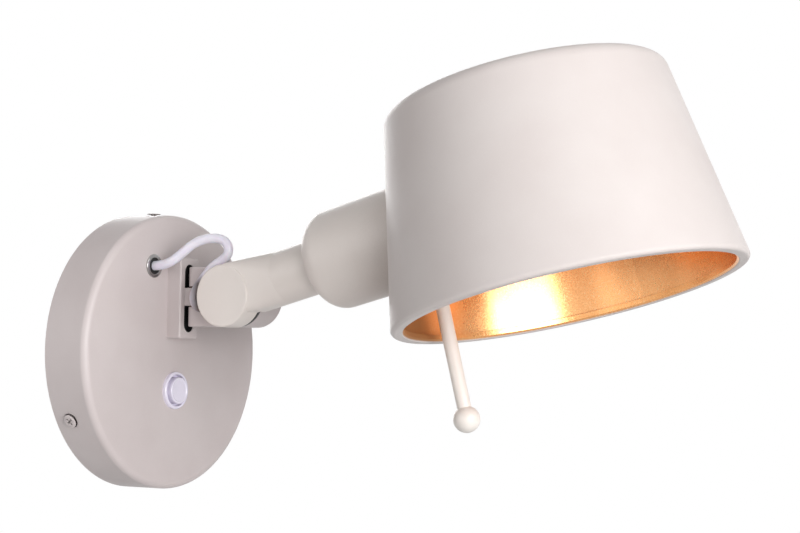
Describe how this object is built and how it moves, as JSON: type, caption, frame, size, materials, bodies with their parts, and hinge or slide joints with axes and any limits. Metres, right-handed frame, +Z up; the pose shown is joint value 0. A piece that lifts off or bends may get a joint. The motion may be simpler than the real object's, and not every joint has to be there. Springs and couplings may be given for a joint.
{
  "type": "wall lamp",
  "caption": "Wall lamp: round base with push switch, short cord, forked swivel, half-lap tilting arm and a turning conical shade with a gold inside and a ball-ended handle.",
  "frame": {"origin": "centre of the round base's back, on the wall", "axes": "+Y into the wall, -Y out of the wall towards the shade, +Z up, +X to the right as seen from the room"},
  "size_m": [0.1428, 0.2846, 0.1793],
  "materials": {
    "greige_paint": "satin",
    "shade_paint": "satin",
    "zinc_steel": "satin",
    "dark_steel": "satin",
    "chrome": "polished",
    "brass": "satin",
    "gold_liner": "satin",
    "white_plastic": "gloss",
    "matte_white_plastic": "matte",
    "cord_jacket": "satin",
    "black_plastic": "matte",
    "fibre": "matte",
    "opal_globe": "satin"
  },
  "bodies": {
    "base": {"base_cover": "greige_paint", "side_screw_set": "greige_paint", "wall_plate": "zinc_steel", "terminal_block": "matte_white_plastic", "terminal_sleeves": "brass", "terminal_screws": "zinc_steel", "earth_screw": "brass", "earth_washer": "zinc_steel", "switch_bezel": "white_plastic", "switch_spring": "zinc_steel", "switch_nut": "zinc_steel", "switch_body": "black_plastic", "cord_grommet": "chrome", "cord_bush": "black_plastic", "grommet_nut": "zinc_steel", "cord_loop": "cord_jacket", "hinge_block": "greige_paint", "hinge_block_screw": "zinc_steel"},
    "button": {"switch_button": "white_plastic"},
    "swivel": {"swivel_fork": "greige_paint", "hinge_pin": "zinc_steel", "swing_washers": "fibre", "cord_tail": "cord_jacket"},
    "arm": {"arm_tube": "greige_paint", "arm_plug": "zinc_steel", "turn_washer": "fibre", "nipple": "zinc_steel", "tilt_bolt": "dark_steel", "tilt_insert": "brass", "disc_spring": "zinc_steel", "friction_washer": "fibre"},
    "head": {"lamp_cup": "greige_paint", "cup_locknut": "zinc_steel", "lampholder": "matte_white_plastic", "contact_shell": "brass", "centre_contact": "brass", "shade_ring": "matte_white_plastic", "shade_shell": "shade_paint", "shade_liner": "gold_liner", "handle_rod": "greige_paint", "handle_ball": "greige_paint", "bulb_cap": "chrome", "bulb_collar": "matte_white_plastic", "bulb_globe": "opal_globe"}
  },
  "joints": [
    {"name": "arm_swing", "type": "hinge", "parent": "base", "child": "swivel", "pos_m": [0, -0.0347, 0.024], "axis": [0, 0, 1], "range_deg": [-70, 70], "deforming": ["cord_loop"]},
    {"name": "arm_tilt", "type": "hinge", "parent": "swivel", "child": "arm", "pos_m": [0, -0.0562, 0.024], "axis": [-1, 0, 0], "range_deg": [-70, 18], "deforming": ["cord_tail"]},
    {"name": "shade_turn", "type": "hinge", "parent": "arm", "child": "head", "pos_m": [0, -0.0992, 0.03739], "axis": [0, -0.9659, 0.2588], "range_deg": [-90, 90]},
    {"name": "switch_press", "type": "slide", "parent": "base", "child": "button", "axis": [0, 1, 0], "range_m": [0, 0.002], "stiffness_N_per_m": 400, "springref_m": -0.002, "deforming": ["switch_spring"]}
  ]
}
